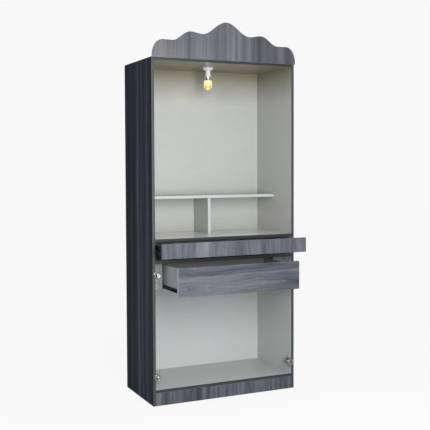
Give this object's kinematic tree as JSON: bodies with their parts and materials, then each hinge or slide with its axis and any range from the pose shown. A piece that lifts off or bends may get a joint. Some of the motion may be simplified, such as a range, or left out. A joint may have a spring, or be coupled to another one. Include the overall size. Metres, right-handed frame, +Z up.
{
  "type": "household altar cabinet",
  "caption": "Tall household altar cabinet with a scalloped crown board, a lit altar bay with a half shelf, a pull-out offering tray, an inner drawer and an open cupboard on a plinth.",
  "frame": {"origin": "on the floor, under the middle of the whole part's bounding box with its tray and drawer out as in the picture", "axes": "+Z up, +Y from the open front to the back panel, +X to the right as seen from the front"},
  "size_m": [0.8, 0.5696, 1.9076],
  "materials": {
    "oak_laminate": "satin dark grey oak laminate with a fine grain",
    "light_melamine": "semi-gloss light grey melamine board, with grey front edges",
    "dark_board": "matt dark board",
    "nickel_steel": "nickel-plated pressed steel",
    "black_steel": "black lacquered steel",
    "white_plastic": "white moulded plastic",
    "cap_metal": "bright rolled cap",
    "warm_globe": "frosted globe, glowing warm yellow"
  },
  "bodies": {
    "cabinet": {"side_panel_left": "oak_laminate", "side_panel_right": "oak_laminate", "top_panel": "light_melamine", "altar_deck": "light_melamine", "tray_shelf": "light_melamine", "bottom_panel": "light_melamine", "plinth_front": "oak_laminate", "plinth_rear": "dark_board", "back_panel": "light_melamine", "half_shelf": "light_melamine", "shelf_divider": "light_melamine", "crown_board": "oak_laminate", "spacer_board_left": "light_melamine", "spacer_board_right": "light_melamine", "spacer_filler_left": "light_melamine", "spacer_filler_right": "light_melamine", "tray_channel_left": "black_steel", "tray_channel_right": "black_steel", "drawer_channel_left": "black_steel", "drawer_channel_right": "black_steel", "hinge_plate_left_lower": "nickel_steel", "hinge_plate_left_upper": "nickel_steel", "hinge_plate_right_lower": "nickel_steel", "hinge_plate_right_upper": "nickel_steel", "hinge_arm_left_lower": "nickel_steel", "hinge_arm_left_upper": "nickel_steel", "hinge_arm_right_lower": "nickel_steel", "hinge_arm_right_upper": "nickel_steel", "hinge_cup_left_lower": "nickel_steel", "hinge_cup_left_upper": "nickel_steel", "hinge_cup_right_lower": "nickel_steel", "hinge_cup_right_upper": "nickel_steel", "lamp_holder": "white_plastic", "bulb_cap": "cap_metal", "bulb_globe": "warm_globe"},
    "tray": {"tray_front": "oak_laminate", "tray_side_left": "light_melamine", "tray_side_right": "light_melamine", "tray_back": "light_melamine", "tray_bottom": "light_melamine", "tray_rail_left": "black_steel", "tray_rail_right": "black_steel"},
    "drawer": {"drawer_front": "oak_laminate", "drawer_side_left": "light_melamine", "drawer_side_right": "light_melamine", "drawer_back": "light_melamine", "drawer_bottom": "light_melamine", "drawer_rail_left": "black_steel", "drawer_rail_right": "black_steel"}
  },
  "joints": [
    {"name": "tray_slide", "type": "slide", "parent": "cabinet", "child": "tray", "axis": [0, -1, 0], "range_m": [-0.111, 0.154]},
    {"name": "drawer_slide", "type": "slide", "parent": "cabinet", "child": "drawer", "axis": [0, -1, 0], "range_m": [-0.233, 0.007]}
  ]
}
